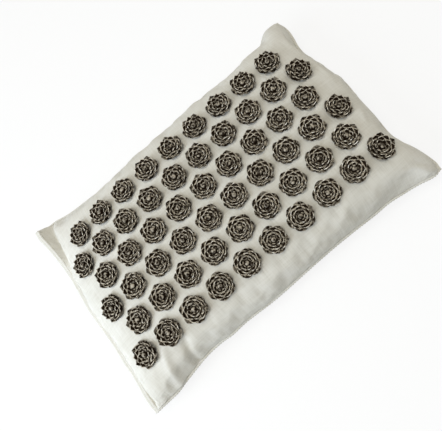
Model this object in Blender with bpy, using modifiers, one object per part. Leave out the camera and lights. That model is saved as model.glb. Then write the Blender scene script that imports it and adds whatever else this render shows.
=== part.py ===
"""Acupressure cushion: a stuffed linen cushion whose top panel carries staggered rows of moulded lotus discs.

The frame has +X along the cushion, +Z up and its origin under the middle, on the surface it lies on.
The -X end is the one that is sewn shut last, over less filling, so its crown falls away earlier.
"""

import math

import bmesh
import bpy
from mathutils import Matrix, Vector

# Lengths in metres, one lotus disc and the layout of the discs on the cloth
DISC_RADIUS = 0.0151  # to the tip of an outer petal
DISC_HEIGHT = 0.0077
DISC_GAP = 0.0053  # between the petal tips of neighbours in a row

# Lengths in metres, cushion
END_MARGIN = 0.03125  # from the last disc centres to the end of the stuffed body, at the ears
SIDE_MARGIN = 0.0487  # the same beside the outer rows
END_DRAW_IN = 0.0035  # how far each short side is pulled in at its middle
SIDE_DRAW_IN = 0.0085  # the same on each long side
CROWN_HEIGHT = 0.038  # top of the cushion above the seam
BELLY_DEPTH = 0.024  # underside below the seam, before it flattens
REST_CUT = 0.0005  # depth that the underside is flattened by its own weight
END_HEM = 0.006  # flat sewn hem beyond the filling at each short end
SIDE_SEAM = 0.0025  # flat seam beyond the filling along each long side
CLOTH = 0.0012  # thickness of a linen panel with its lining
CLEARANCE = 0.0003  # gap between pieces that touch

# Counts and powers
ROW_COUNTS = (9, 10, 9, 10, 9, 10)  # discs in each row, from the +Y side
PETALS = 6
SPIN_STEP = 7  # from one disc to the next, in divisions of a petal
SPIN_DIVISIONS = 12
DRAW_POWER = 3.0  # how closely the drawn-in sides keep to the ears
SEWN_END_POWER = 4.7  # higher keeps the crown flat for longer
SEWN_CORNER_SLACK = 3.2  # what the slack +Y corner of the sewn end takes off that power
FAR_END_POWER = 8.0
SIDE_POWER = 5.4
SEWN_END_ROUNDING = 0.63  # lower makes the end of the cushion blunter
FAR_END_ROUNDING = 0.48
SIDE_ROUNDING = 0.53
LENGTH_CELLS = 22
WIDTH_CELLS = 14
RIM_SHARE = 0.9999  # from here out a point counts as lying on the rim of the body
PATH_STEPS = 400  # steps of the walk along the cloth that spaces the discs
SOLVE_STEPS = 8

# The rims of the four petal rings of one disc with the floor behind each, and then its button, as shares
# of its radius and height: radius and height at the petal tips, the same at the notches, and 1 where the
# ring is turned half a petal
FOOT_RADIUS_SHARE = 0.57
RING_SHARES = (
    ((1.0, 0.82), (0.86, 0.2), 0),
    ((0.75, 0.37), (0.82, 0.23), 0),
    ((0.9, 0.96), (0.72, 0.4), 1),
    ((0.6, 0.45), (0.68, 0.36), 1),
    ((0.7, 1.0), (0.57, 0.54), 0),
    ((0.42, 0.49), (0.48, 0.48), 0),
    ((0.49, 0.95), (0.39, 0.62), 1),
    ((0.26, 0.38), (0.25, 0.38), 1),
    ((0.165, 0.89), (0.165, 0.89), 0),
)

DISC_PITCH = 2 * DISC_RADIUS + DISC_GAP
ROW_PITCH = DISC_PITCH * math.sin(math.pi / 3)  # staggered rows, every neighbour equally far
FOOT_RADIUS = DISC_RADIUS * FOOT_RADIUS_SHARE
BODY_HALF_LENGTH = (max(ROW_COUNTS) - 1) / 2 * DISC_PITCH + END_MARGIN
BODY_HALF_WIDTH = (len(ROW_COUNTS) - 1) / 2 * ROW_PITCH + SIDE_MARGIN
SEAM_HEIGHT = BELLY_DEPTH - REST_CUT


def start_scene():
    """Empty the scene and return the collection that holds the cushion's parts."""
    for obj in list(bpy.data.objects):
        bpy.data.objects.remove(obj)
    parts = bpy.data.collections.new("acupressure_cushion")
    bpy.context.scene.collection.children.link(parts)
    return parts


def make_material(name, color, roughness):
    """A plain finish from a linear colour and a roughness."""
    material = bpy.data.materials.new(name)
    material.use_nodes = True
    shader = material.node_tree.nodes["Principled BSDF"]
    shader.inputs["Base Color"].default_value = (*color, 1.0)
    shader.inputs["Roughness"].default_value = roughness
    shader.inputs["Metallic"].default_value = 0.0
    return material


def add_part(parts, name, mesh):
    obj = bpy.data.objects.new(name, mesh)
    parts.objects.link(obj)
    return obj


def half_length_at(width_share):
    """Half length of the stuffed body at a place across it, from -1 to 1."""
    return BODY_HALF_LENGTH - END_DRAW_IN * (1 - abs(width_share) ** DRAW_POWER)


def half_width_at(length_share):
    """Half width of the stuffed body at a place along it, from -1 to 1."""
    return BODY_HALF_WIDTH - SIDE_DRAW_IN * (1 - abs(length_share) ** DRAW_POWER)


def crown_share(length_share, width_share):
    """Height of the stuffed body as a share of its greatest height."""
    if length_share < 0:
        power = SEWN_END_POWER - SEWN_CORNER_SLACK * max(0.0, width_share)
        rounding = SEWN_END_ROUNDING
    else:
        power = FAR_END_POWER
        rounding = FAR_END_ROUNDING
    along = max(0.0, 1 - abs(length_share) ** power) ** rounding
    across = max(0.0, 1 - abs(width_share) ** SIDE_POWER) ** SIDE_ROUNDING
    return along * across


def top_height(share):
    """Height of the outside of the top panel."""
    rim = CLOTH + CLEARANCE / 2
    return SEAM_HEIGHT + rim + (CROWN_HEIGHT - rim) * share


def belly_height(share):
    """Height of the outside of the lower panel, flat where the cushion rests."""
    rim = CLOTH + CLEARANCE / 2
    return max(0.0, SEAM_HEIGHT - rim - (BELLY_DEPTH - rim) * share)


def shares_at(x, y):
    """The length and width shares of a place on the plan."""
    length_share = x / BODY_HALF_LENGTH
    width_share = y / BODY_HALF_WIDTH
    for _ in range(SOLVE_STEPS):
        length_share = x / half_length_at(width_share)
        width_share = y / half_width_at(length_share)
    return length_share, width_share


def top_point(x, y):
    """The place on the outside of the top panel above a place on the plan."""
    return Vector((x, y, top_height(crown_share(*shares_at(x, y)))))


def walk(start, step, distance):
    """Follow the top panel from a plan place in plan steps until the cloth distance is used up."""
    at = top_point(*start)
    plan = Vector(start)
    left = distance
    while left > 0:
        following = plan + step
        ahead = top_point(*following)
        stride = (ahead - at).length
        if stride >= left:
            return plan + step * (left / stride)
        left -= stride
        plan = following
        at = ahead
    return plan


def disc_place(along, across):
    """The plan place that lies these cloth distances from the middle."""
    side_step = Vector((0, math.copysign(BODY_HALF_LENGTH / PATH_STEPS, across)))
    end_step = Vector((math.copysign(BODY_HALF_LENGTH / PATH_STEPS, along), 0))
    return walk(walk((0, 0), side_step, abs(across)), end_step, abs(along))


def cloth_frame(plan, spin):
    """Place and turn of a disc that sits flat on the top panel."""
    x, y = plan
    ahead = top_point(x + FOOT_RADIUS, y) - top_point(x - FOOT_RADIUS, y)
    beside = top_point(x, y + FOOT_RADIUS) - top_point(x, y - FOOT_RADIUS)
    normal = ahead.cross(beside).normalized()
    turn = normal.to_track_quat("Z", "Y").to_matrix().to_4x4()
    seat = top_point(x, y) + normal * CLEARANCE
    return Matrix.Translation(seat) @ turn @ Matrix.Rotation(spin, 4, "Z")


def panel_lines(cells):
    """Shares of the grid lines across a body, closer together at its rim."""
    return [math.sin(math.pi / 2 * (2 * i / cells - 1)) for i in range(cells + 1)]


def body_grid(bm, height_at, inset):
    """A grid over the stuffed body, lifted by a height rule; the inset shrinks its plan."""
    lengths = panel_lines(LENGTH_CELLS)
    widths = panel_lines(WIDTH_CELLS)
    made = bmesh.ops.create_grid(bm, x_segments=LENGTH_CELLS, y_segments=WIDTH_CELLS, size=1)
    for vert in made["verts"]:
        u = lengths[round((vert.co.x + 1) / 2 * LENGTH_CELLS)]
        v = widths[round((vert.co.y + 1) / 2 * WIDTH_CELLS)]
        x = u * (half_length_at(v) - inset)
        y = v * (half_width_at(u) - inset)
        vert.co = (x, y, height_at(crown_share(u, v)))
    return made["verts"]


def add_flange(bm):
    """Carry the rim of a panel outwards in the seam plane, as hem at the ends and seam along the sides."""
    rim = [edge for edge in bm.edges if edge.is_boundary]
    lifted = bmesh.ops.extrude_edge_only(bm, edges=rim)
    for vert in [item for item in lifted["geom"] if isinstance(item, bmesh.types.BMVert)]:
        u, v = shares_at(vert.co.x, vert.co.y)
        if abs(u) > RIM_SHARE:
            vert.co.x += math.copysign(END_HEM, u)
        if abs(v) > RIM_SHARE:
            vert.co.y += math.copysign(SIDE_SEAM, v)


def make_panel(parts, name, material, height_at, outward):
    """One linen panel: its outer face, with the cloth's thickness on the side of the filling."""
    bm = bmesh.new()
    body_grid(bm, height_at, 0.0)
    add_flange(bm)
    bmesh.ops.recalc_face_normals(bm, faces=bm.faces)
    if sum(face.normal.z * face.calc_area() for face in bm.faces) * outward < 0:
        bmesh.ops.reverse_faces(bm, faces=bm.faces)
    mesh = bpy.data.meshes.new(name)
    bm.to_mesh(mesh)
    bm.free()
    mesh.materials.append(material)
    mesh.shade_smooth()
    panel = add_part(parts, name, mesh)
    solid = panel.modifiers.new("cloth", "SOLIDIFY")
    solid.thickness = CLOTH
    solid.offset = -1
    solid.use_even_offset = True
    return panel


def make_filling(parts, material):
    """The stuffing, clear of both panels by the usual gap and a little more at its rim."""
    skin = CLOTH + CLEARANCE
    wall = skin + CLEARANCE
    bm = bmesh.new()
    body_grid(bm, lambda share: SEAM_HEIGHT + (CROWN_HEIGHT - skin) * share, wall)
    lower = body_grid(bm, lambda share: max(skin, SEAM_HEIGHT - (BELLY_DEPTH - skin) * share), wall)
    lower_faces = {face for vert in lower for face in vert.link_faces}
    bmesh.ops.reverse_faces(bm, faces=list(lower_faces))
    bmesh.ops.remove_doubles(bm, verts=bm.verts, dist=CLEARANCE / 3)
    bmesh.ops.recalc_face_normals(bm, faces=bm.faces)
    mesh = bpy.data.meshes.new("filling")
    bm.to_mesh(mesh)
    bm.free()
    mesh.materials.append(material)
    mesh.shade_smooth()
    return add_part(parts, "filling", mesh)


def shape_ring(face, tips, notches, first_tip):
    """Set a ring of points to alternate between petal tips and the notches between them."""
    for vert in face.verts:
        step = round(math.atan2(vert.co.y, vert.co.x) / (math.pi / PETALS))
        radius_share, height_share = tips if (step - first_tip) % 2 == 0 else notches
        radius = DISC_RADIUS * radius_share
        angle = step * math.pi / PETALS
        vert.co = (radius * math.cos(angle), radius * math.sin(angle), DISC_HEIGHT * height_share)


def disc_mesh(material):
    """One lotus disc: four rings of pointed petals, each turned half a petal, round a button."""
    bm = bmesh.new()
    upright = Matrix.Translation((0, 0, DISC_HEIGHT / 2)) @ Matrix.Rotation(math.pi / 2 / PETALS, 4, "Z")
    bmesh.ops.create_cone(
        bm,
        cap_ends=True,
        segments=2 * PETALS,
        radius1=FOOT_RADIUS,
        radius2=DISC_RADIUS,
        depth=DISC_HEIGHT,
        matrix=upright,
    )
    foot, crown = sorted(
        (face for face in bm.faces if len(face.verts) == 2 * PETALS),
        key=lambda face: face.calc_center_median().z,
    )
    flat = (FOOT_RADIUS_SHARE, 0.0)
    shape_ring(foot, flat, flat, 0)
    shape_ring(crown, *RING_SHARES[0])
    for ring in RING_SHARES[1:]:
        crown = bmesh.ops.extrude_discrete_faces(bm, faces=[crown])["faces"][0]
        shape_ring(crown, *ring)
    bmesh.ops.recalc_face_normals(bm, faces=bm.faces)
    mesh = bpy.data.meshes.new("lotus_disc")
    bm.to_mesh(mesh)
    bm.free()
    mesh.materials.append(material)
    return mesh


def place_discs(parts, mesh):
    """Seat every disc on the top panel, each row staggered against the next."""
    middle_row = (len(ROW_COUNTS) - 1) / 2
    number = 0
    for row, count in enumerate(ROW_COUNTS):
        across = (middle_row - row) * ROW_PITCH
        for column in range(count):
            along = (column - (count - 1) / 2) * DISC_PITCH
            turned = number * SPIN_STEP % SPIN_DIVISIONS / SPIN_DIVISIONS
            spin = turned * 2 * math.pi / PETALS
            disc = add_part(parts, f"disc_r{row + 1}_c{column + 1}", mesh)
            disc.matrix_world = cloth_frame(disc_place(along, across), spin)
            number += 1


def main():
    parts = start_scene()
    top_linen = make_material("natural_linen_top", (0.66, 0.64, 0.58), 0.9)
    lower_linen = make_material("natural_linen_bottom", (0.66, 0.64, 0.58), 0.9)
    fibre = make_material("loose_filling", (0.55, 0.47, 0.36), 0.95)
    plastic = make_material("dark_brown_plastic", (0.035, 0.026, 0.017), 0.38)
    make_panel(parts, "cover_top", top_linen, top_height, 1)
    make_panel(parts, "cover_bottom", lower_linen, belly_height, -1)
    make_filling(parts, fibre)
    place_discs(parts, disc_mesh(plastic))


main()
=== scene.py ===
"""Looks of a stuffed linen acupressure cushion with moulded lotus discs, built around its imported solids.

Lengths are metres in the frame of the solids: +X along the cushion, +Y across it towards the first row of
discs, +Z up, and the floor at z = 0. The -X end is the one that was sewn shut last. Points of the cloth have
shares of the half length, u, and of the half width, v, that run from -1 to 1.
"""

import logging
import math
from collections.abc import Sequence
from dataclasses import dataclass, field
from enum import Enum

import bmesh
import bpy
import numpy as np
from mathutils import Matrix, Vector, noise


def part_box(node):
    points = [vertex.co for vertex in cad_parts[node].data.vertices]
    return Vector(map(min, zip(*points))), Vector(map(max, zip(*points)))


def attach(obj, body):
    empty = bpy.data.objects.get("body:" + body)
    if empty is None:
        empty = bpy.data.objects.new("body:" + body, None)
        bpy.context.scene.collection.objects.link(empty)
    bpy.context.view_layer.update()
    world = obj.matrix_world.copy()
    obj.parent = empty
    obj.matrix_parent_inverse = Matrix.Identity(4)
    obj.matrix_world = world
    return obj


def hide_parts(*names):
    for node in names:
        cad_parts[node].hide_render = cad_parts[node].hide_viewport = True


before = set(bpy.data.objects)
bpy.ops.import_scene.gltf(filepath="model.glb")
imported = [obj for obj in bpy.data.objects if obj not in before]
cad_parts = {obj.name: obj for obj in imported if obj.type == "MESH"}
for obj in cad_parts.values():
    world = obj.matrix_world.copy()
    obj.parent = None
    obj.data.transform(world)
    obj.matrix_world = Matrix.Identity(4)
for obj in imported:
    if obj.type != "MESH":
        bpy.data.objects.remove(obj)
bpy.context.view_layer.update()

MM = 0.001
ON_SEAM = 1 - 1e-6  # a point with a share beyond this lies on the edge seam
WHITE = "#FFFFFF"
BAND_WIDTH = 2 * math.pi / 20  # of the wave texture's bands at a scale of 1
LOG = logging.getLogger("cushion")


def from_mm(*lengths: float) -> tuple[float, ...]:
    """Turn millimetres into metres."""
    return tuple(length * MM for length in lengths)


class Side(Enum):
    """The four sides of the cushion: the axis that each lies across, and its sign there."""

    SEWN_END = (0, -1)
    FAR_END = (0, 1)
    NEAR_SIDE = (1, -1)
    FAR_SIDE = (1, 1)


SOLID_HEMS = dict(zip(Side, from_mm(6, 6, 2.5, 2.5)))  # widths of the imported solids' hems
HEM_WIDTHS = dict(zip(Side, from_mm(5, 2.2, 1.6, 1.6)))  # widths of the hems as photographed
STUFFED_CLOTH = {  # the pressure of the stuffing and the give of the cloth
    "quality": 6,
    "mass": 0.3,
    "tension_stiffness": 25,
    "compression_stiffness": 12,
    "shear_stiffness": 6,
    "bending_stiffness": 0.4,
    "shrink_min": -0.02,
    "use_pressure": True,
    "uniform_pressure_force": 4.0,
}


def linear(code: str) -> tuple[float, float, float, float]:
    """Turn an sRGB hex colour into a linear colour.

    Args:
        code: The colour as "#RRGGBB".

    Returns:
        Red, green, blue and full opacity.
    """
    channels = [int(code[i : i + 2], 16) / 255 for i in (1, 3, 5)]
    return (*(c / 12.92 if c <= 0.04045 else ((c + 0.055) / 1.055) ** 2.4 for c in channels), 1.0)


def set_inputs(node: bpy.types.Node, inputs: dict[str, object] | Sequence[object]) -> None:
    """Set and link a node's inputs.

    Args:
        node: The node.
        inputs: A value, or a socket to link, for each named input, or for the first inputs in order.
    """
    for key, value in inputs.items() if isinstance(inputs, dict) else enumerate(inputs):
        if isinstance(value, bpy.types.NodeSocket):
            node.id_data.links.new(value, node.inputs[key])
        else:
            node.inputs[key].default_value = value


def add_node(
    tree: bpy.types.NodeTree,
    kind: str,
    settings: dict[str, object] | None = None,
    inputs: dict[str, object] | Sequence[object] = (),
    output: int | str = 0,
) -> bpy.types.NodeSocket:
    """Add one shader node with its settings and links.

    Args:
        tree: The node tree to add to.
        kind: The node's type name after "ShaderNode".
        settings: Values of the node's own properties.
        inputs: Its inputs, as set_inputs takes them.
        output: The number or name of the output that is wanted.

    Returns:
        The output socket.
    """
    node = tree.nodes.new("ShaderNode" + kind)
    for name, value in (settings or {}).items():
        setattr(node, name, value)
    set_inputs(node, inputs)
    return node.outputs[output]


def new_material(name: str) -> tuple[bpy.types.Material, bpy.types.NodeTree, bpy.types.Node]:
    """Make a node material.

    Args:
        name: The material's name.

    Returns:
        The material, its node tree and its Principled shader, which is linked to the output.
    """
    material = bpy.data.materials.new(name)
    material.use_nodes = True
    tree = material.node_tree
    return material, tree, tree.nodes["Principled BSDF"]


def smooth(share: np.ndarray | float) -> np.ndarray | float:
    """Ease a share from 0 to 1 with level ends."""
    held = np.clip(share, 0.0, 1.0)
    return held * held * (3 - 2 * held)


def bell(distance: np.ndarray | float, reach: float) -> np.ndarray | float:
    """A bell curve that is 1 at no distance and about a third at its reach."""
    return np.exp(-((distance / reach) ** 2))


def spoke(place: Vector, count: int) -> int:
    """Number of the spoke, out of a count of them round the Z axis, that a place lies on."""
    return round(math.atan2(place.y, place.x) / (2 * math.pi) * count) % count


def read_points(mesh: bpy.types.Mesh) -> np.ndarray:
    """Read the places of a mesh's points.

    Args:
        mesh: The mesh.

    Returns:
        A row of X, Y and Z for each point.
    """
    values = np.zeros(len(mesh.vertices) * 3, np.float32)
    mesh.vertices.foreach_get("co", values)
    return values.reshape(-1, 3).astype(float)


def write_points(mesh: bpy.types.Mesh, points: np.ndarray) -> None:
    """Put a mesh's points in new places."""
    mesh.vertices.foreach_set("co", points.astype(np.float32).ravel())
    mesh.update()


def finish_mesh(bm: bmesh.types.BMesh, name: str, material: bpy.types.Material) -> bpy.types.Mesh:
    """Turn a bmesh into a smoothly shaded mesh.

    Args:
        bm: The bmesh, which is freed.
        name: The mesh's name.
        material: What it is made of.

    Returns:
        The mesh.
    """
    mesh = bpy.data.meshes.new(name)
    bm.to_mesh(mesh)
    bm.free()
    mesh.materials.append(material)
    mesh.shade_smooth()
    return mesh


def add_object(data: bpy.types.ID) -> bpy.types.Object:
    """Add an object to the scene, under the name of its data.

    Args:
        data: A mesh, lamp or camera.

    Returns:
        The object, at the origin.
    """
    added = bpy.data.objects.new(data.name, data)
    bpy.context.scene.collection.objects.link(added)
    return added


# Finishes


@dataclass(frozen=True)
class PlainWeaveLinen:
    """Natural undyed linen in a plain weave: matt, off-white, with slightly thicker slub threads.

    It gives the eye a soft, faintly mottled cloth with no shine. The real threads lie 0.6 mm apart, too fine
    to show, so they are drawn coarser.
    """

    name: str = "natural_linen_plain_weave"
    tone: str = "#DCD9D1"
    slub_tone: str = "#CDC9BE"
    thread_pitch: float = 1.1 * MM
    thread_sway: float = 1.2
    sway_fineness: float = 0.6
    slub_length: float = 26 * MM
    slub_width: float = 1.6 * MM
    slub_shade: tuple[float, float] = (1.1, -0.02)  # its gain and its start
    mottle: float = 45 * MM
    mottle_shade: float = 0.9
    shaded: tuple[float, float] = (0.45, 1.0)  # the slub tone comes in between these two shades
    relief: float = 0.16 * MM
    slub_relief: float = 1.5  # beside that of a plain thread
    relief_strength: float = 0.7
    roughness: float = 0.92
    sheen: float = 0.08
    sheen_roughness: float = 0.5
    gloss: float = 0.25

    def material(self) -> bpy.types.Material:
        """Build the cloth's material, on the pieces' own UV map in metres of cloth.

        Returns:
            The material.
        """
        material, tree, shader = new_material(self.name)
        cloth = add_node(tree, "UVMap", {"uv_map": "cloth"})
        threads = {
            "Vector": cloth,
            "Scale": BAND_WIDTH / self.thread_pitch,
            "Distortion": self.thread_sway,
            "Detail": 1.0,
            "Detail Scale": self.sway_fineness,
        }
        warp, weft = (
            add_node(tree, "TexWave", {"wave_type": "BANDS", "bands_direction": way}, threads, "Fac")
            for way in "XY"
        )
        weave = add_node(tree, "Math", {"operation": "MAXIMUM"}, (warp, weft))
        length, width = 1 / self.slub_length, 1 / self.slub_width
        streaks = []
        for scale in ((length, width, 1.0), (width, length, 1.0)):
            stretched = add_node(tree, "Mapping", inputs={"Vector": cloth, "Scale": scale})
            streak = {"Vector": stretched, "Scale": 1.0, "Detail": 1.0}
            streaks.append(add_node(tree, "TexNoise", inputs=streak))
        slub = add_node(tree, "Math", {"operation": "MULTIPLY"}, streaks)
        mottle = {"Vector": cloth, "Scale": 1 / self.mottle, "Detail": 3.0}
        mottled = (
            add_node(tree, "TexNoise", inputs=mottle),
            self.mottle_shade,
            add_node(tree, "Math", {"operation": "MULTIPLY_ADD"}, (slub, *self.slub_shade)),
        )
        blend = add_node(tree, "Math", {"operation": "MULTIPLY_ADD", "use_clamp": True}, mottled)
        share = add_node(tree, "MapRange", inputs=(blend, *self.shaded))
        tones = {"Factor": share, "A": linear(self.tone), "B": linear(self.slub_tone)}
        height = add_node(tree, "Math", {"operation": "MULTIPLY_ADD"}, (slub, self.slub_relief, weave))
        relief = {"Height": height, "Distance": self.relief, "Strength": self.relief_strength}
        finish = {
            "Base Color": add_node(tree, "Mix", {"data_type": "RGBA"}, tones, "Result"),
            "Normal": add_node(tree, "Bump", inputs=relief),
            "Roughness": self.roughness,
            "Sheen Weight": self.sheen,
            "Sheen Roughness": self.sheen_roughness,
            "Specular IOR Level": self.gloss,
        }
        set_inputs(shader, finish)
        return material


@dataclass(frozen=True)
class MouldedAbs:
    """Injection-moulded ABS in a dark brown, clouded by its flow, with light and shade painted on its petals.

    It gives the eye black recesses of painted shade, a low gloss on faces that are lightened as a painted
    reflection, and broken painted highlights along the rims.
    """

    name: str = "dark_brown_moulded_abs"
    # Dark brown kept as painted shade in recesses, paler faces as painted reflection, rims as painted
    # highlight.
    painted_shade_tone: str = "#21180F"
    tone: str = "#C9BEAB"
    painted_highlight_tone: str = "#F4EDDF"
    # Noise that breaks the painted light up into fragments.
    paint_break: float = 3.0 * MM
    paint_break_noise: tuple[float, float] = (0.38, 0.62)
    paint_break_gain: tuple[float, float] = (0.38, 1.5)
    shade_fade: tuple[float, float] = (0.10, 0.50)  # over this much painted light the painted shade gives way to the faces' tone
    highlight_onset: tuple[float, float] = (0.5, 0.75)  # and over this much that one to the painted highlight
    cloud: float = 3.5 * MM
    cloud_noise: tuple[float, float] = (0.35, 0.65)
    gloss: tuple[float, float] = (0.03, 0.3)  # in a recess, and on a face
    roughness: tuple[float, float] = (0.29, 0.46)
    grain: float = 0.5 * MM
    grain_depth: float = 0.02 * MM
    grain_strength: float = 0.5
    ior: float = 1.53

    def material(self) -> bpy.types.Material:
        """Build the plastic's material; a mesh attribute says how much light is painted where on a petal.

        Returns:
            The material.
        """
        material, tree, shader = new_material(self.name)
        place = add_node(tree, "TexCoord", output="Object")
        paint_breaks, clouds, grain = (
            add_node(tree, "TexNoise", inputs={"Vector": place, "Scale": 1 / size, "Detail": detail})
            for size, detail in ((self.paint_break, 1.0), (self.cloud, 2.0), (self.grain, 1.0))
        )
        # How much light is painted on each point, broken up by noise: shade in the recesses, highlight on the
        # rims.
        light_paint = add_node(tree, "Attribute", {"attribute_name": "painted_light"}, output="Fac")
        broken_up = add_node(tree, "MapRange", inputs=(paint_breaks, *self.paint_break_noise, *self.paint_break_gain))
        painted_light = add_node(tree, "Math", {"operation": "MULTIPLY"}, (light_paint, broken_up))
        out_of_shade, highlit, patches = (
            add_node(tree, "MapRange", inputs=(value, *over))
            for value, over in ((painted_light, self.shade_fade), (painted_light, self.highlight_onset), (clouds, self.cloud_noise))
        )
        highlight_share = add_node(tree, "Math", {"operation": "MULTIPLY", "use_clamp": True}, (highlit, patches))
        # Painted shade first, then the faces' painted reflection, then the rims' painted highlight.
        color = linear(self.painted_shade_tone)
        for share, tone in ((out_of_shade, self.tone), (highlight_share, self.painted_highlight_tone)):
            tones = {"Factor": share, "A": color, "B": linear(tone)}
            color = add_node(tree, "Mix", {"data_type": "RGBA"}, tones, "Result")
        relief = {"Height": grain, "Distance": self.grain_depth, "Strength": self.grain_strength}
        finish = {
            "Base Color": color,
            "Normal": add_node(tree, "Bump", inputs=relief),
            "Roughness": add_node(tree, "MapRange", inputs=(clouds, 0.0, 1.0, *self.roughness)),
            "Specular IOR Level": add_node(tree, "MapRange", inputs=(out_of_shade, 0.0, 1.0, *self.gloss)),
            "IOR": self.ior,
        }
        set_inputs(shader, finish)
        return material


@dataclass(frozen=True)
class SpunThread:
    """Spun cotton sewing thread: matt, with its ply turned round it.

    It gives the eye a fine dotted line along the hems.
    """

    name: str
    tone: str
    ply_tone: str = "#F0EDE4"
    ply_share: float = 0.18
    ply_pitch: float = 0.6 * MM
    ply_sway: float = 0.5
    ply_relief: float = 0.05 * MM
    relief_strength: float = 0.6
    roughness: float = 0.8

    def material(self) -> bpy.types.Material:
        """Build the thread's material.

        Returns:
            The material.
        """
        material, tree, shader = new_material(self.name)
        turns = {
            "Vector": add_node(tree, "TexCoord", output="Object"),
            "Scale": BAND_WIDTH / self.ply_pitch,
            "Distortion": self.ply_sway,
        }
        ply = add_node(tree, "TexWave", {"wave_type": "BANDS", "bands_direction": "DIAGONAL"}, turns, "Fac")
        share = add_node(tree, "MapRange", inputs=(ply, 0.0, 1.0, 0.0, self.ply_share))
        tones = {"Factor": share, "A": linear(self.tone), "B": linear(self.ply_tone)}
        relief = {"Height": ply, "Distance": self.ply_relief, "Strength": self.relief_strength}
        finish = {
            "Base Color": add_node(tree, "Mix", {"data_type": "RGBA"}, tones, "Result"),
            "Normal": add_node(tree, "Bump", inputs=relief),
            "Roughness": self.roughness,
        }
        set_inputs(shader, finish)
        return material


# The stuffed body


@dataclass(frozen=True)
class SeamWave:
    """A stretch of seam that lies off its even line, as sewing and stuffing leave it."""

    side: Side
    place: float  # along the side
    reach: float
    depth: float  # inwards

    @classmethod
    def along(cls, side: Side, *rows: tuple[float, float, float]) -> "tuple[SeamWave, ...]":
        """Waves of one side, from rows of place, reach and depth in millimetres."""
        return tuple(cls(side, *from_mm(*row)) for row in rows)


@dataclass(frozen=True)
class EdgeLift:
    """A stretch of hem that curls up from the seam plane."""

    side: Side
    start: float  # along the side, where the lift is still nothing
    end: float  # where it has its full height
    height: float
    reach: float  # how far in from the edge it fades


@dataclass(frozen=True)
class BluntCorner:
    """A corner whose point is drawn in by the turned seam."""

    along: int  # 1 at the far end, -1 at the sewn end
    across: int  # 1 at the far side, -1 at the near side
    inward: float
    reach: float


@dataclass(frozen=True)
class StandingHem:
    """The slack corner of the sewn end: its hem stands up, and the cloth slopes to a crease behind it."""

    start: float = 56 * MM  # across the cushion, where the hem still lies flat
    end: float = 124 * MM  # where it stands highest
    height: float = 14 * MM
    width: float = 12.8 * MM  # from the seam in to the crease, at its widest
    least_width: float = 1.5 * MM
    slack_run: float = 20 * MM  # from the start, over which the crease forms
    least_crown: float = 0.25  # share of the crown that is left in the crease
    crown_run: float = 0.9  # slope widths beyond the crease, over which the crown comes back

    def shape(self, y: np.ndarray, inside: np.ndarray) -> tuple[np.ndarray, np.ndarray]:
        """Find how the corner differs from an even one.

        Args:
            y: Places across the cushion.
            inside: Distances in from the seam.

        Returns:
            The rise of the cloth at each point, and the share of the crown that is missing there.
        """
        grown = np.clip((y - self.start) / (self.end - self.start), 0.0, 1.0)
        reached = inside / (self.least_width + (self.width - self.least_width) * grown)
        missing = (1 - self.least_crown) * (1 - smooth((reached - 1.0) / self.crown_run))
        rise = self.height * grown * np.maximum(0.0, 1 - reached)
        return rise, missing * smooth((y - self.start) / self.slack_run)


@dataclass(frozen=True)
class Fold:
    """A soft ridge in the cloth along a line on the plan, or a valley where its height is below nothing."""

    start_x: float
    start_y: float
    end_x: float
    end_y: float
    width: float
    height: float

    def lift(self, x: np.ndarray, y: np.ndarray) -> np.ndarray:
        """Height of the fold over places on the plan.

        Args:
            x: Places along the cushion.
            y: Places across it.

        Returns:
            The height at each place, fading out past both ends of the line.
        """
        run_x, run_y = self.end_x - self.start_x, self.end_y - self.start_y
        length = math.hypot(run_x, run_y)
        along = ((x - self.start_x) * run_x + (y - self.start_y) * run_y) / length
        off = ((x - self.start_x) * run_y - (y - self.start_y) * run_x) / length
        past = np.maximum(0.0, np.abs(along - length / 2) - length / 2)
        return self.height * bell(off, self.width / 2) * bell(past, self.width)


@dataclass(frozen=True)
class CushionForm:
    """The shape of the stuffed body: a crown over a drawn-in plan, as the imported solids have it."""

    half_length: float
    half_width: float
    seam_height: float
    crown: float = 38 * MM
    belly: float = 24 * MM
    rim: float = 1.35 * MM  # half of the flat edge, where the panels meet
    end_draw_in: float = 3.5 * MM
    side_draw_in: float = 8.5 * MM
    draw_power: float = 3.0
    sewn_end_power: float = 4.7
    sewn_corner_slack: float = 3.2
    far_end_power: float = 8.0
    side_power: float = 5.4
    sewn_end_rounding: float = 0.63
    far_end_rounding: float = 0.48
    side_rounding: float = 0.53

    def plan(self, u: np.ndarray, v: np.ndarray) -> tuple[np.ndarray, np.ndarray]:
        """Find places on the plan.

        Args:
            u: Shares of the half length.
            v: Shares of the half width.

        Returns:
            The places along and across the cushion.
        """
        x = u * (self.half_length - self.end_draw_in * (1 - np.abs(v) ** self.draw_power))
        y = v * (self.half_width - self.side_draw_in * (1 - np.abs(u) ** self.draw_power))
        return x, y

    def heights(self, u: np.ndarray, v: np.ndarray, panel: np.ndarray) -> np.ndarray:
        """Find the heights of points on the two panels.

        Args:
            u: Shares of the half length.
            v: Shares of the half width.
            panel: 1 on the top panel, -1 on the lower one and 0 on the seam.

        Returns:
            The height of each point, which is never below the floor.
        """
        slack = self.sewn_corner_slack * np.maximum(0.0, v)
        power = np.where(u < 0, self.sewn_end_power - slack, self.far_end_power)
        rounding = np.where(u < 0, self.sewn_end_rounding, self.far_end_rounding)
        along = np.maximum(0.0, 1 - np.abs(u) ** power) ** rounding
        across = np.maximum(0.0, 1 - np.abs(v) ** self.side_power) ** self.side_rounding
        share = along * across
        reach = np.where(panel > 0, self.crown, self.belly)
        off_seam = self.rim * (share > 0) + (reach - self.rim) * share
        return np.maximum(0.0, self.seam_height + panel * off_seam)


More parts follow.
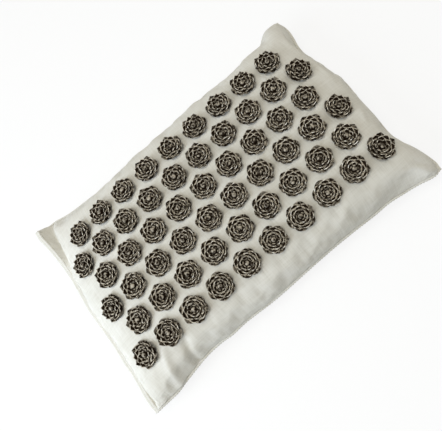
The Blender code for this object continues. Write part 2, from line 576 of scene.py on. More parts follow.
@dataclass
class Settling:
    """How this one cushion lies: uneven seams, blunt and curled corners, folds and puckers."""

    form: CushionForm
    u: np.ndarray
    v: np.ndarray
    waves: tuple[SeamWave, ...] = (
        *SeamWave.along(Side.SEWN_END, (98, 50, 4.2), (8, 26, -1.4), (-16, 80, -1.2)),
        *SeamWave.along(Side.SEWN_END, (-62, 16, -1.1), (-108, 26, -2.4)),
        *SeamWave.along(Side.FAR_END, (106, 14, -2.8), (78, 18, 2.6), (17, 15, -1.4), (12, 26, -3.6)),
        *SeamWave.along(Side.FAR_END, (-68, 24, 5.0), (-94, 14, -1.8), (-112, 16, -2.0)),
        *SeamWave.along(Side.NEAR_SIDE, (183, 14, -4.0), (135, 14, 1.5), (60, 70, 1.8), (-62, 30, 2.6)),
        *SeamWave.along(Side.NEAR_SIDE, (-80, 10, -1.2), (-110, 34, 5.0), (-164, 10, -1.2)),
        *SeamWave.along(Side.FAR_SIDE, (182, 13, -2.2), (168, 7, -2.6), (155, 13, 5.0), (126, 22, 1.8)),
        *SeamWave.along(Side.FAR_SIDE, (96, 24, 4.2), (16, 48, 1.5), (-92, 24, 1.6), (-170, 16, -3.0)),
    )
    wave_reach: float = 28 * MM  # how far in from the seam a wave fades
    whole_side: float = 10.0  # reach of a wave that is even along its side
    corners: tuple[BluntCorner, ...] = (
        BluntCorner(-1, 1, *from_mm(2.2, 6)),
        BluntCorner(1, 1, *from_mm(1.6, 7)),
        BluntCorner(1, -1, *from_mm(1.5, 6)),
        BluntCorner(-1, -1, *from_mm(1.0, 8)),
    )
    lifts: tuple[EdgeLift, ...] = (
        EdgeLift(Side.FAR_SIDE, *from_mm(150, 180, 4.0, 20)),
        EdgeLift(Side.NEAR_SIDE, *from_mm(158, 190, 3.0, 16)),
    )
    standing_hem: StandingHem = StandingHem()
    folds: tuple[Fold, ...] = (
        Fold(*from_mm(-172, 128, -185, 66, 6, -1.6)),
        Fold(*from_mm(-186, 70, -189, 20, 3, -1.6)),
        Fold(*from_mm(-119, -98, -125, -116, 7, -4.0)),
        Fold(*from_mm(-107, -80, -107, -101, 7, 0.8)),
        Fold(*from_mm(-144, -92, -153, -119, 9, 3.0)),
        Fold(*from_mm(-161, -98, -170, -118, 7, -0.6)),
        Fold(*from_mm(-186, -100, -190, -118, 5, -3.0)),
        Fold(*from_mm(176, -110, 188, -119, 7, -2.2)),
        Fold(*from_mm(184, 98, 188, 76, 9, -2.6)),
        Fold(*from_mm(176, 84, 177, 68, 8, 2.4)),
        Fold(*from_mm(176, 44, 175, 26, 8, 2.4)),
        Fold(*from_mm(173, -12, 172, -34, 8, 2.0)),
    )
    pucker_pitch: float = 15 * MM
    pucker_length: float = 60 * MM  # of one pucker, in from the seam
    pucker_reach: float = 20 * MM
    pucker_start: float = 3 * MM  # width of the strip along the seam that lies flat
    pucker_height: float = 1.3 * MM
    pucker_change: float = 7.3  # step in the noise from one side to the next

    def seen_from(self, side: Side) -> tuple[np.ndarray, np.ndarray]:
        """Find where the points lie as seen from one side.

        Args:
            side: The side in question.

        Returns:
            Each point's place along the side, and its distance in from it.
        """
        axis, sign = side.value
        half = (self.form.half_length, self.form.half_width)[axis]
        return self.form.plan(self.u, self.v)[1 - axis], (1 - sign * (self.u, self.v)[axis]) * half

    def plan_shift(self) -> np.ndarray:
        """Find the sideways shift of the points by the uneven seams and the blunt corners.

        The body also reaches further out than that of the solids, by as much as its hems are narrower.

        Returns:
            A row of shifts along X and Y for each point.
        """
        even = ((side, HEM_WIDTHS[side] - SOLID_HEMS[side]) for side in Side)
        shift = np.zeros((len(self.u), 2))
        for wave in (*self.waves, *(SeamWave(side, 0.0, self.whole_side, depth) for side, depth in even)):
            axis, sign = wave.side.value
            along, inside = self.seen_from(wave.side)
            inward = wave.depth * bell(along - wave.place, wave.reach) * bell(inside, self.wave_reach)
            shift[:, axis] -= sign * inward
        x, y = self.form.plan(self.u, self.v)
        for corner in self.corners:
            off_x = self.form.half_length - corner.along * x
            off_y = self.form.half_width - corner.across * y
            inward = corner.inward * bell(np.hypot(off_x, off_y), corner.reach)
            shift -= np.column_stack((corner.along * inward, corner.across * inward))
        return shift

    def curl(self) -> np.ndarray:
        """Find the rise of the points near the hems that curl up.

        Returns:
            The rise of each point.
        """
        rise = np.zeros(len(self.u))
        for lift in self.lifts:
            along, inside = self.seen_from(lift.side)
            grown = smooth((along - lift.start) / (lift.end - lift.start))
            rise = np.maximum(rise, lift.height * grown * bell(inside, lift.reach))
        return rise

    def relief(self) -> np.ndarray:
        """Find the height of folds and puckers along the normal of the top panel.

        Returns:
            The height at each point.
        """
        height = sum(fold.lift(*self.form.plan(self.u, self.v)) for fold in self.folds)
        for number, side in enumerate(Side):
            along, inside = self.seen_from(side)
            places = zip(along / self.pucker_pitch, inside / self.pucker_length)
            gathers = np.array([noise.noise(Vector((a, i, self.pucker_change * number))) for a, i in places])
            at_seam = smooth(inside / self.pucker_start) * bell(inside, self.pucker_reach)
            height = height + self.pucker_height * gathers * at_seam
        return height


@dataclass(frozen=True)
class DiscPlace:
    """Where one lotus disc sits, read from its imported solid."""

    node: str
    matrix: Matrix  # the foot's centre as its place, the axis as Z and one petal tip along X
    radius: float
    height: float

    @classmethod
    def read(cls, node: str) -> "DiscPlace":
        """Find the place and turn of a disc from its solid, which is six times alike round its axis.

        Args:
            node: The name of the disc's node.

        Returns:
            The disc's place.
        """
        points = np.array([v.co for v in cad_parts[node].data.vertices])
        points = np.unique(np.round(points, 6), axis=0)
        centre = points.mean(axis=0)
        spread = points - centre
        axis = np.linalg.eigh(spread.T @ spread)[1][:, 0]
        axis = axis if axis[2] > 0 else -axis
        rise = spread @ axis
        flat = spread - np.outer(rise, axis)
        reach = np.linalg.norm(flat, axis=1)
        ahead = flat[np.argmax(reach)] / reach.max()
        columns = np.column_stack((ahead, np.cross(axis, ahead), axis, centre + axis * rise.min()))
        matrix = Matrix(np.vstack((columns, (0, 0, 0, 1))).tolist())
        return cls(node, matrix, float(reach.max()), float(rise.max() - rise.min()))


@dataclass(frozen=True)
class SeamLine:
    """The closed line of the edge seam, as points with their shares u and v."""

    points: np.ndarray
    shares: np.ndarray

    def on(self, side: Side) -> np.ndarray:
        """Whether each point lies on a side."""
        axis, sign = side.value
        return sign * self.shares[:, axis] > ON_SEAM

    def outward(self) -> np.ndarray:
        """Find how far the hem's outer edge lies from the seam on the plan.

        Returns:
            A row of X, Y and Z for each point.
        """
        out = np.zeros_like(self.points)
        for side, width in HEM_WIDTHS.items():
            axis, sign = side.value
            out[self.on(side), axis] = sign * width
        return out


@dataclass
class CushionCover:
    """The closed linen cover over its stuffing."""

    form: CushionForm
    discs: list[DiscPlace]
    linen: bpy.types.Material
    cells: tuple[int, int] = (132, 88)  # along and across each panel
    frames: int = 20
    foot_share: float = 0.62  # of a disc's radius, inside which it holds the cloth down
    foot_ease: float = 10 * MM
    floor_touch: float = 0.2 * MM  # height below which the floor holds the lower panel
    field_cap: float = 0.5 * MM  # most that the cloth may swell between the discs
    side_cap: float = 5.0 * MM  # most that it may swell towards the seams
    field_share: float = 0.72  # of the way out to the seam, where the field of discs ends
    field_ease: float = 0.2
    still_reach: float = 11 * MM  # from a disc's centre, inside which the cloth isn't settled
    still_ease: float = 9 * MM
    under_relief: float = 0.35  # share of the folds and puckers that the lower panel takes
    shares: np.ndarray = field(default_factory=lambda: np.zeros((0, 3)))  # rows of u, v and panel

    def build(self) -> bpy.types.Object:
        """Make the cover.

        Returns:
            The finished cover, riding on the body and standing for the panels and the filling.
        """
        mesh = self.closed_shell()
        cover = add_object(mesh)
        self.inflate(cover)
        self.settle(mesh)
        self.map_cloth(mesh)
        fine = cover.modifiers.new("finer cloth", "SUBSURF")
        fine.levels = 1
        fine.render_levels = 1
        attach(cover, "root")
        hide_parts("cover_top", "cover_bottom", "filling")
        return cover

    def closed_shell(self) -> bpy.types.Mesh:
        """Make two grids over the same plan, crowned up and down and joined at the seam.

        The grid lines lie closer together towards the seam, where the cloth turns down.

        Returns:
            The mesh, whose points keep their shares and their panel in three attributes.
        """
        names = ("along", "across", "panel")
        bm = bmesh.new()
        layers = [bm.verts.layers.float.new(name) for name in names]
        for panel in (1.0, -1.0):
            x_cells, y_cells = self.cells
            made = bmesh.ops.create_grid(bm, x_segments=x_cells, y_segments=y_cells, size=1)["verts"]
            for vert in made:
                lines = ((round((at + 1) / 2 * cells), cells) for at, cells in zip(vert.co, self.cells))
                u, v = (math.sin(math.pi / 2 * (2 * line / cells - 1)) for line, cells in lines)
                vert.co = (u, v, 0.0 if max(abs(u), abs(v)) > ON_SEAM else panel)
                for layer, value in zip(layers, (u, v, vert.co.z)):
                    vert[layer] = value
            if panel < 0:
                bmesh.ops.reverse_faces(bm, faces=list({face for vert in made for face in vert.link_faces}))
        bmesh.ops.remove_doubles(bm, verts=[vert for vert in bm.verts if vert.co.z == 0.0], dist=1e-6)
        mesh = finish_mesh(bm, "cushion_cover", self.linen)
        columns = np.zeros((3, len(mesh.vertices)), np.float32)
        for name, column in zip(names, columns):
            mesh.attributes[name].data.foreach_get("value", column)
        self.shares = columns.T.astype(float)
        write_points(mesh, self.even_points())
        return mesh

    def even_points(self) -> np.ndarray:
        """Places of the points on the even form."""
        u, v, panel = self.shares.T
        return np.column_stack((*self.form.plan(u, v), self.form.heights(u, v, panel)))

    def disc_distance(self, points: np.ndarray) -> np.ndarray:
        """Distance of each point from the nearest disc's foot centre."""
        feet = (np.array(disc.matrix.translation) for disc in self.discs)
        return np.minimum.reduce([np.linalg.norm(points - foot, axis=1) for foot in feet])

    def inflate(self, cover: bpy.types.Object) -> None:
        """Swell the cloth by its stuffing, held at the seam, under the discs and on the floor.

        Args:
            cover: The cover, whose mesh takes the swollen shape.
        """
        rest = self.even_points()
        u, v, panel = self.shares.T
        from_disc = self.disc_distance(rest)
        foot = self.discs[0].radius * self.foot_share
        held = (panel == 0) | (from_disc < foot) | ((panel < 0) & (rest[:, 2] < self.floor_touch))
        pins = cover.vertex_groups.new(name="held")
        pins.add([int(i) for i in np.flatnonzero(held)], 1.0, "REPLACE")
        cloth = cover.modifiers.new("stuffed cloth", "CLOTH")
        for name, value in STUFFED_CLOTH.items():
            setattr(cloth.settings, name, value)
        cloth.settings.vertex_group_mass = pins.name
        cloth.settings.effector_weights.gravity = 0
        cloth.collision_settings.use_collision = False
        cloth.point_cache.frame_start = 1
        cloth.point_cache.frame_end = self.frames
        scene = bpy.context.scene
        for number in range(1, self.frames + 1):
            scene.frame_set(number)
        move = read_points(cover.evaluated_get(bpy.context.evaluated_depsgraph_get()).data) - rest
        cover.modifiers.remove(cloth)
        scene.frame_set(1)
        length = np.linalg.norm(move, axis=1)
        LOG.info("cloth swelled by up to %.1f mm, %.1f mm on average", length.max() / MM, length.mean() / MM)
        past_field = smooth((np.maximum(np.abs(u), np.abs(v)) - self.field_share) / self.field_ease)
        cap = self.field_cap + (self.side_cap - self.field_cap) * past_field
        cap = cap * smooth((from_disc - foot) / self.foot_ease)
        write_points(cover.data, rest + move * (cap / np.maximum(cap + length, 1e-9))[:, None])

    def settle(self, mesh: bpy.types.Mesh) -> None:
        """Lay the cover as this cushion lies.

        Args:
            mesh: The cover's mesh, whose points are moved.
        """
        normals = np.zeros(len(mesh.vertices) * 3, np.float32)
        mesh.vertex_normals.foreach_get("vector", normals)
        points = read_points(mesh)
        u, v, panel = self.shares.T
        settling = Settling(self.form, u, v)
        free = smooth((self.disc_distance(points) - self.still_reach) / self.still_ease)
        relief = settling.relief() * free * np.where(panel > 0, 1.0, self.under_relief * (panel < 0))
        points += normals.reshape(-1, 3).astype(float) * relief[:, None]
        points[:, :2] += settling.plan_shift() * free[:, None]
        points[:, 2] += settling.curl() * free
        rise, missing = settling.standing_hem.shape(*settling.seen_from(Side.SEWN_END))
        above = points[:, 2] - self.form.seam_height
        points[:, 2] += rise - np.where(panel > 0, above * missing * free, 0.0)
        points[:, 2] = np.maximum(0.0, points[:, 2])
        write_points(mesh, points)

    def map_cloth(self, mesh: bpy.types.Mesh) -> None:
        """Give the cover a UV map in metres of cloth, measured along and across from each panel's middle.

        Args:
            mesh: The cover's mesh.
        """
        points = read_points(mesh)
        lines = (np.arcsin(np.clip(self.shares[:, :2], -1, 1)) / math.pi + 0.5) * self.cells
        column, row = np.round(lines).astype(int).T
        places = {}
        for panel in (1, -1):
            on_panel = (self.shares[:, 2] == panel) | (self.shares[:, 2] == 0)
            grid = np.zeros((self.cells[0] + 1, self.cells[1] + 1, 3))
            grid[column[on_panel], row[on_panel]] = points[on_panel]
            lengths = []
            for axis, cells in enumerate(self.cells):
                steps = np.linalg.norm(np.diff(grid, axis=axis), axis=2).cumsum(axis=axis)
                walked = np.insert(steps, 0, 0.0, axis=axis)
                lengths.append(walked - walked.take([cells // 2], axis=axis))
            places[panel] = np.dstack(lengths)
        layer = mesh.uv_layers.new(name="cloth")
        for face in mesh.polygons:
            corners = list(face.vertices)
            panel = 1 if self.shares[corners, 2].sum() > 0 else -1
            for loop, corner in zip(face.loop_indices, corners):
                layer.data[loop].uv = places[panel][column[corner], row[corner]]

    def seam_line(self, mesh: bpy.types.Mesh) -> SeamLine:
        """Find the line of the seam round the finished cover.

        Args:
            mesh: The finished cover's mesh.

        Returns:
            The seam's line, anticlockwise from the -X, -Y corner.
        """
        on_seam = np.flatnonzero(self.shares[:, 2] == 0)
        u, v = self.shares[on_seam, :2].T
        walk = np.select([v < -ON_SEAM, u > ON_SEAM, v > ON_SEAM], [u + 1, v + 3, 5 - u], default=7 - v)
        ordered = on_seam[np.argsort(walk)]
        return SeamLine(read_points(mesh)[ordered], self.shares[ordered, :2])


# Hems and stitches


@dataclass
class EdgeHem:
    """The flat sewn edge beyond the filling: a hem on the sewn end, a narrow allowance elsewhere."""

    seam: SeamLine
    linen: bpy.types.Material
    thickness: float = 1.8 * MM
    groove_share: float = 0.45  # where the line of stitches pinches the hem, across its width
    groove_reach: float = 0.14
    groove_depth: float = 0.5 * MM
    wave_pitch: float = 19 * MM
    wave_height: float = 0.7 * MM
    droop: float = 0.35  # fall of the outer edge as a share of the hem's width
    droop_power: float = 1.5

    def section(self) -> list[tuple[float, float]]:
        """Draw the hem's section, which starts inside the cover and is rounded at the outer edge.

        Returns:
            For each point, the share of the width out from the seam, and the height off the hem's middle.
        """
        half = self.thickness / 2
        upper = [
            (-0.3, 0.3 * half),
            (0.0, half),
            (self.groove_share - self.groove_reach, half),
            (self.groove_share, half - self.groove_depth),
            (self.groove_share + self.groove_reach, half),
            (0.88, 0.9 * half),
            (0.98, 0.5 * half),
        ]
        return upper + [(1.0, 0.0)] + [(share, -height) for share, height in reversed(upper)]

    def surface(self, share: float, height: float) -> np.ndarray:
        """Find a line along the hem, which sways a little towards the outer edge.

        Args:
            share: How far out from the seam, as a share of the width.
            height: Height off the middle of the hem.

        Returns:
            A row of X, Y and Z for each point of the seam.
        """
        out = max(0.0, share)
        outward = self.seam.outward()
        points = self.seam.points + outward * share
        sway = np.array([noise.noise(Vector(point) / self.wave_pitch) for point in self.seam.points])
        fall = self.droop * np.linalg.norm(outward, axis=1) * out**self.droop_power
        points[:, 2] += height + self.wave_height * sway * out - fall
        return points

    def build(self) -> bpy.types.Object:
        """Make the hem as one closed ring.

        It grows as a tube round the Z axis, one step up for each point of the section, and is then laid along
        the seam.

        Returns:
            The finished hem, riding on the body.
        """
        rows = [self.surface(share, height) for share, height in self.section()]
        count = len(self.seam.points)
        bm = bmesh.new()
        bmesh.ops.create_circle(bm, segments=count, radius=1.0)
        edges = list(bm.edges)
        for step in range(1, len(rows) + 1):
            made = bmesh.ops.extrude_edge_only(bm, edges=edges)["geom"]
            edges = [item for item in made if isinstance(item, bmesh.types.BMEdge)]
            for vert in (item for item in made if isinstance(item, bmesh.types.BMVert)):
                vert.co.z = step
        for vert in bm.verts:
            vert.co = Vector(rows[round(vert.co.z) % len(rows)][spoke(vert.co, count)])
        bmesh.ops.remove_doubles(bm, verts=bm.verts, dist=1e-6)
        bmesh.ops.recalc_face_normals(bm, faces=bm.faces)
        cloth = bm.loops.layers.uv.new("cloth")
        for loop in (loop for face in bm.faces for loop in face.loops):
            loop[cloth].uv = loop.vert.co.xy
        hem = add_object(finish_mesh(bm, "edge_hem", self.linen))
        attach(hem, "root")
        return hem


@dataclass
class StitchLine:
    """A row of stitches along one side of the hem."""

    name: str
    side: Side
    hem: EdgeHem
    thread: bpy.types.Material
    width_share: float  # how far out on the hem the row lies
    height: float  # off the hem's middle
    pitch: float = 3.2 * MM
    length: float = 2.5 * MM
    thread_radius: float = 0.28 * MM

    def build(self) -> bpy.types.Object:
        """Make the row.

        Returns:
            The finished stitches as one piece, riding on the body.
        """
        seam = self.hem.seam
        chosen = np.flatnonzero(seam.on(self.side))
        chosen = chosen[np.argsort(seam.shares[chosen, 1 - self.side.value[0]])]
        path = self.hem.surface(self.width_share, self.height)[chosen]
        walked = np.insert(np.linalg.norm(np.diff(path, axis=0), axis=1).cumsum(), 0, 0.0)
        size = Matrix.Diagonal((self.length / 2, self.thread_radius, self.thread_radius, 1.0))
        pole = Matrix.Rotation(math.pi / 2, 4, "Y")
        bm = bmesh.new()
        for place in np.arange(self.pitch, walked[-1] - self.pitch / 2, self.pitch):
            here, ahead = (
                Vector([float(np.interp(at, walked, path[:, axis])) for axis in range(3)])
                for at in (place, place + self.length / 2)
            )
            turn = (ahead - here).to_track_quat("X", "Z").to_matrix().to_4x4()
            matrix = Matrix.Translation(here) @ turn @ size @ pole
            bmesh.ops.create_uvsphere(bm, u_segments=6, v_segments=4, radius=1.0, matrix=matrix)
        row = add_object(finish_mesh(bm, self.name, self.thread))
        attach(row, "root")
        return row


# Lotus discs


@dataclass(frozen=True)
class PetalRing:
    """One ring of six joined petals, in shares of the disc's radius and height."""

    tip_radius: float
    tip_height: float
    notch_radius: float
    notch_height: float
    floor_height: float  # of the petals' roots
    # Light painted on the rim, the face and the floor, from painted shade at 0 towards painted highlight.
    rim_highlight: float
    face_light: float
    floor_light: float
    turned: bool  # by half a petal
    petals: int = 6
    tip_roundness: float = 2.6
    notch_sharpness: float = 0.7

    def rim(self, angles: np.ndarray) -> np.ndarray:
        """Find the rim.

        Args:
            angles: Angles round the disc's axis.

        Returns:
            A row of the rim's radius share and height share for each angle.
        """
        half = math.pi / self.petals
        from_tip = np.abs((angles + (0.0 if self.turned else half)) % (2 * half) - half) / half
        radius = self.tip_radius + (self.notch_radius - self.tip_radius) * from_tip**self.tip_roundness
        height = self.tip_height + (self.notch_height - self.tip_height) * from_tip**self.notch_sharpness
        return np.column_stack((radius, height))

    def light_paint(self, angles: np.ndarray) -> np.ndarray:
        """How much highlight is painted on the rim at each angle, from 0 in a notch to 1 at a tip."""
        return 0.5 + 0.5 * np.cos(self.petals * angles + (math.pi if self.turned else 0.0))


@dataclass
class LotusDisc:
    """The moulded disc: rings of joined petals, each turned half a petal against the last, round a button."""

    radius: float
    height: float
    plastic: bpy.types.Material
    seat_gap: float = 0.3 * MM  # between the solids of the disc and the cloth
    segments: int = 72
    foot_share: float = 0.57
    wall: tuple[float, float, float] = (0.55, 0.42, 0.15)  # the outer wall's knee: run and rise shares, painted light
    rim_width: float = 0.60 * MM
    rim_drop: float = 0.12 * MM  # of the rim's outer edge
    undercut: float = 0.25 * MM  # how far the root of a ring lies behind the rim in front of it
    least_depth: float = 0.3 * MM  # of a ring's floor below the rims beside it
    rim_highlight: tuple[float, float] = (0.05, 2.2)  # share of the rim's painted highlight in a notch, and its gain towards a tip
    floor_light: float = 0.25  # share of the floor's painted light in a notch
    flank_light: float = 0.34  # painted light added to the faces between tip and notch
    flank_place: float = 0.28
    flank_reach: float = 0.22
    behind: tuple[float, float] = (0.75, 0.05)  # last loop before the next rim: its share of the way, painted light
    button_share: float = 0.165
    moat: tuple[float, float] = (1.25, 0.62)  # where the last ring ends: button radii, disc heights
    sharp_angle: float = math.radians(50)
    rings: tuple[PetalRing, ...] = (
        PetalRing(1.00, 0.82, 0.85, 0.18, 0.36, 0.24, 0.15, 0.48, False),
        PetalRing(0.87, 0.96, 0.67, 0.40, 0.44, 0.56, 0.04, 0.46, True),
        PetalRing(0.68, 1.00, 0.52, 0.54, 0.48, 0.56, 0.00, 0.46, False),
        PetalRing(0.47, 0.95, 0.35, 0.62, 0.36, 0.58, 0.05, 0.46, True),
    )
    steps: tuple[tuple[float, float, bool], ...] = (  # down a petal: run share, rise share, still on its face
        (0.95, 0.80, True),
        (0.51, 0.30, True),
        (0.40, 0.15, False),
        (0.25, 0.04, False),
    )
    button: tuple[tuple[float, float, float], ...] = (  # share of its radius, disc heights, painted light
        (1.0, 0.66, 0.05),
        (0.94, 0.78, 0.25),
        (0.72, 0.86, 0.27),
        (0.4, 0.90, 0.25),
        (0.05, 0.91, 0.22),
    )

    def angles(self) -> np.ndarray:
        """Angles of the disc's spokes."""
        return 2 * math.pi * np.arange(self.segments) / self.segments

    def loop(self, *values: np.ndarray | float) -> np.ndarray:
        """One loop round the disc, as a row of radius, height and painted light for each angle."""
        return np.column_stack([np.broadcast_to(value, self.segments) for value in values])

    def ring_loops(self, ring: PetalRing, rim: np.ndarray, following: np.ndarray) -> list[np.ndarray]:
        """Find the loops of one ring, from its rim in to the wall of the next.

        Args:
            ring: The ring.
            rim: Radius and height of its rim at each angle.
            following: The same of the ring behind it.

        Returns:
            The loops in order.
        """
        (rim_r, rim_h), (next_r, next_h) = rim.T, following.T
        edge_r = rim_r - self.rim_width
        root_r = np.minimum(edge_r, next_r) - self.undercut
        floor = np.minimum(ring.floor_height * self.height, np.minimum(rim_h, next_h) - self.least_depth)
        # Painted light: a highlight on the rim that grows towards the tips, paler bands on faces and floors,
        # painted shade at the root and on the next wall.
        highlit = ring.light_paint(self.angles())
        rim_tone = ring.rim_highlight * np.minimum(1.0, self.rim_highlight[0] + self.rim_highlight[1] * highlit)
        flank = np.maximum(0.0, 1 - np.abs(highlit - self.flank_place) / self.flank_reach)
        face_tone = ring.face_light + self.flank_light * flank
        floor_tone = ring.floor_light * (self.floor_light + (1 - self.floor_light) * highlit)
        loops = [self.loop(rim_r, rim_h - self.rim_drop, rim_tone), self.loop(edge_r, rim_h, rim_tone)]
        for run, rise, on_face in self.steps:
            radius, height = root_r + (edge_r - root_r) * run, floor + (rim_h - floor) * rise
            loops.append(self.loop(radius, height, face_tone if on_face else floor_tone))
        share, painted_light = self.behind
        wall = self.loop(root_r + (next_r - root_r) * share, floor + (next_h - floor) * share, painted_light)
        return [*loops, self.loop(root_r, floor, 0.0), wall]

    def loops(self) -> list[np.ndarray]:
        """Find all loops of the disc.

        Returns:
            The loops in order, from the foot up the outer wall and in to the button.
        """
        rims = [ring.rim(self.angles()) * (self.radius, self.height) for ring in self.rings]
        foot, button = self.radius * self.foot_share, self.radius * self.button_share
        moat = np.tile((button * self.moat[0], self.height * self.moat[1]), (self.segments, 1))
        run, rise, painted_light = self.wall
        knee = self.loop(foot + (rims[0][:, 0] - foot) * run, rims[0][:, 1] * rise, painted_light)
        loops = [self.loop(foot, -self.seat_gap, 0.0), knee]
        for ring, rim, following in zip(self.rings, rims, [*rims[1:], moat]):
            loops += self.ring_loops(ring, rim, following)
        return loops + [self.loop(button * out, self.height * up, painted_light) for out, up, painted_light in self.button]

    def mesh(self) -> bpy.types.Mesh:
        """Make the disc in its own frame.

        Returns:
            The mesh, with its foot on the plane that it is seated on and a petal tip along +X.
        """
        bm = bmesh.new()
        # Each point carries how much light is painted on it, from painted shade at 0 up to painted highlight.
        painted_light_layer = bm.verts.layers.float.new("painted_light")
        bmesh.ops.create_circle(bm, cap_ends=True, segments=self.segments, radius=self.radius)
        bm.faces.ensure_lookup_table()
        face = bm.faces[0]
        for number, loop in enumerate(self.loops()):
            if number:
                face = bmesh.ops.extrude_discrete_faces(bm, faces=[face])["faces"][0]
            for vert in face.verts:
                index = spoke(vert.co, self.segments)
                angle = 2 * math.pi * index / self.segments
                radius, height, painted_light = loop[index]
                vert.co = (radius * math.cos(angle), radius * math.sin(angle), height)
                vert[painted_light_layer] = painted_light
        bmesh.ops.recalc_face_normals(bm, faces=bm.faces)
        mesh = finish_mesh(bm, "lotus_disc", self.plastic)
        mesh.set_sharp_from_angle(angle=self.sharp_angle)
        return mesh

    def seat(self, shape: bpy.types.Mesh, place: DiscPlace) -> bpy.types.Object:
        """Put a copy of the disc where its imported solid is.

        Args:
            shape: The disc's mesh in its own frame.
            place: Where the disc sits.

        Returns:
            The seated disc, riding on the body and standing for its solid.
        """
        mesh = shape.copy()
        mesh.name = place.node.replace("disc", "lotus")
        mesh.transform(place.matrix)
        disc = add_object(mesh)
        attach(disc, "root")
        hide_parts(place.node)
        return disc


# The studio


@dataclass(frozen=True)
class SoftLamp:
    """A square soft box aimed at the cushion."""

    name: str
    direction: tuple[float, float, float]  # from the cushion
    distance: float
    size: float
    power: float
    tone: str

    def hang(self) -> None:
        """Put the lamp in its place."""
        light = bpy.data.lights.new(self.name, "AREA")
        light.shape = "SQUARE"
        light.size = self.size
        light.energy = self.power
        light.color = linear(self.tone)[:3]
        lamp = add_object(light)
        direction = Vector(self.direction).normalized()
        lamp.location = direction * self.distance
        lamp.rotation_mode = "QUATERNION"
        lamp.rotation_quaternion = direction.to_track_quat("Z", "Y")


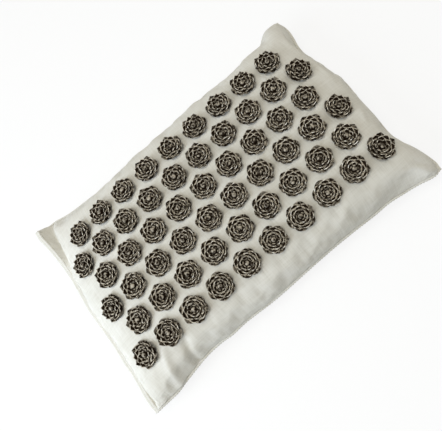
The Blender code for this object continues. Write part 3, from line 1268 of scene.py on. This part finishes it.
@dataclass
class Studio:
    """A plain pale floor, soft light that is strongest past the sewn end, and the photograph's camera."""

    seam_height: float
    image_width: int = 442
    sensor_width: float = 36.0
    focal_pixels: float = 468.35
    tilt: float = math.radians(18.67)
    roll: float = math.radians(45.87)
    yaw: float = math.radians(4.85)
    aim: tuple[float, float] = (-7.49 * MM, -8.0 * MM)
    distance: float = 529.55 * MM
    floor_size: float = 6.0
    floor_gap: float = 0.2 * MM
    floor_tone: str = "#F4F4F2"
    floor_white: float = 0.8
    sky_tone: str = "#FFFFFB"
    sky_strength: float = 0.20
    lamps: tuple[SoftLamp, ...] = (
        SoftLamp("side_lamp", (-0.85, -0.07, 0.50), 1.3, 1.0, 16.0, "#E4F0FE"),
        SoftLamp("overhead_lamp", (-0.15, 0.0, 1.0), 1.5, 0.9, 11.0, "#FFFCF0"),
        SoftLamp("far_fill", (0.85, 0.35, 0.50), 1.5, 1.0, 4.5, "#FFFDF6"),
    )

    def build(self) -> None:
        """Make the floor, the light and the camera."""
        self.lay_floor()
        self.light_sky()
        for lamp in self.lamps:
            lamp.hang()
        self.place_camera()
        bpy.context.scene.view_settings.view_transform = "Standard"

    def seen_directly(self, tree: bpy.types.NodeTree) -> bpy.types.NodeSocket:
        """Tell the rays that show the background from those that light the cushion.

        Args:
            tree: The node tree to add to.

        Returns:
            A value that is 1 for camera, glossy and transmission rays.
        """
        rays = add_node(tree, "LightPath").node.outputs
        shown = rays["Is Camera Ray"]
        for ray in ("Is Glossy Ray", "Is Transmission Ray"):
            shown = add_node(tree, "Math", {"operation": "MAXIMUM"}, (shown, rays[ray]))
        return shown

    def lay_floor(self) -> None:
        """Lay the pale floor, which keeps the cushion's soft shadow."""
        material, tree, shader = new_material("pale_studio_floor")
        tree.nodes.remove(shader)
        paper = add_node(tree, "BsdfDiffuse", inputs={"Color": linear(self.floor_tone)})
        white = add_node(tree, "Emission", inputs={"Color": linear(WHITE), "Strength": 1.0})
        shown = (self.seen_directly(tree), self.floor_white)
        share = add_node(tree, "Math", {"operation": "MULTIPLY"}, shown)
        surface = add_node(tree, "MixShader", inputs=(share, paper, white))
        set_inputs(tree.nodes["Material Output"], {"Surface": surface})
        bm = bmesh.new()
        bmesh.ops.create_grid(bm, x_segments=2, y_segments=2, size=self.floor_size / 2)
        bmesh.ops.translate(bm, verts=bm.verts, vec=(0, 0, -self.floor_gap))
        floor = add_object(finish_mesh(bm, "floor", material))

    def light_sky(self) -> None:
        """Light the cushion with an even sky, in front of a white backdrop."""
        world = bpy.data.worlds.new("studio")
        world.use_nodes = True
        tree = world.node_tree
        tree.nodes.clear()
        sky = add_node(
            tree, "Background", inputs={"Color": linear(self.sky_tone), "Strength": self.sky_strength}
        )
        backdrop = add_node(tree, "Background", inputs={"Color": linear(WHITE), "Strength": 1.0})
        mixed = add_node(tree, "MixShader", inputs=(self.seen_directly(tree), sky, backdrop))
        set_inputs(tree.nodes.new("ShaderNodeOutputWorld"), {"Surface": mixed})
        bpy.context.scene.world = world

    def place_camera(self) -> None:
        """Put the camera where the photograph was taken from."""
        level_back = Vector((math.sin(self.yaw), -math.cos(self.yaw), 0.0))
        back = level_back * math.sin(self.tilt) + Vector((0, 0, math.cos(self.tilt)))
        level = Vector((0, 0, 1)).cross(back).normalized()
        upright = back.cross(level)
        picture_x = level * math.cos(self.roll) - upright * math.sin(self.roll)
        picture_y = level * math.sin(self.roll) + upright * math.cos(self.roll)
        place = Vector((*self.aim, self.seam_height)) + back * self.distance
        data = bpy.data.cameras.new("camera")
        data.sensor_width = self.sensor_width
        data.lens = self.focal_pixels * self.sensor_width / self.image_width
        camera = add_object(data)
        turn = Matrix((picture_x, picture_y, back)).transposed().to_4x4()
        camera.matrix_world = Matrix.Translation(place) @ turn
        bpy.context.scene.camera = camera


def main() -> None:
    """Dress the cushion, piece by piece."""
    logging.basicConfig(level=logging.INFO, format="%(name)s: %(message)s")
    top_low, top_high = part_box("cover_top")
    seam_height = (top_low.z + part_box("cover_bottom")[1].z) / 2
    half_length = (top_high.x - top_low.x) / 2 - SOLID_HEMS[Side.FAR_END]
    half_width = (top_high.y - top_low.y) / 2 - SOLID_HEMS[Side.FAR_SIDE]
    discs = [DiscPlace.read(node) for node in sorted(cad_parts) if node.startswith("disc_")]
    linen = PlainWeaveLinen().material()
    cover_maker = CushionCover(CushionForm(half_length, half_width, seam_height), discs, linen)
    cover = cover_maker.build()
    hem = EdgeHem(cover_maker.seam_line(cover.data), linen)
    pieces = [cover, hem.build()]
    pale = SpunThread("natural_cotton_thread", "#C9C3B4").material()
    # Dark tan stitches over the outer edge of the sides, put there as painted shade under the edge.
    edge_shade_thread = SpunThread("tan_edge_thread_as_painted_shade", "#8F8472").material()
    in_groove = (hem, pale, hem.groove_share, hem.thickness / 2 - hem.groove_depth)
    over_edge = (hem, edge_shade_thread, 1.0, -0.3 * MM)  # a little below the middle of the outer edge, as painted shade under it
    for name, side, row in (
        ("sewn_end_stitches", Side.SEWN_END, in_groove),
        ("far_end_stitches", Side.FAR_END, in_groove),
        ("near_side_stitches", Side.NEAR_SIDE, over_edge),
        ("far_side_stitches", Side.FAR_SIDE, over_edge),
    ):
        pieces.append(StitchLine(name, side, *row).build())
    for piece in pieces:
        LOG.info("%s: %d faces", piece.name, len(piece.data.polygons))
    maker = LotusDisc(discs[0].radius, discs[0].height, MouldedAbs().material())
    shape = maker.mesh()
    for place in discs:
        maker.seat(shape, place)
    LOG.info("%d lotus discs of %d faces each", len(discs), len(shape.polygons))
    bpy.data.meshes.remove(shape)
    Studio(seam_height).build()


if __name__ == "__main__":
    main()
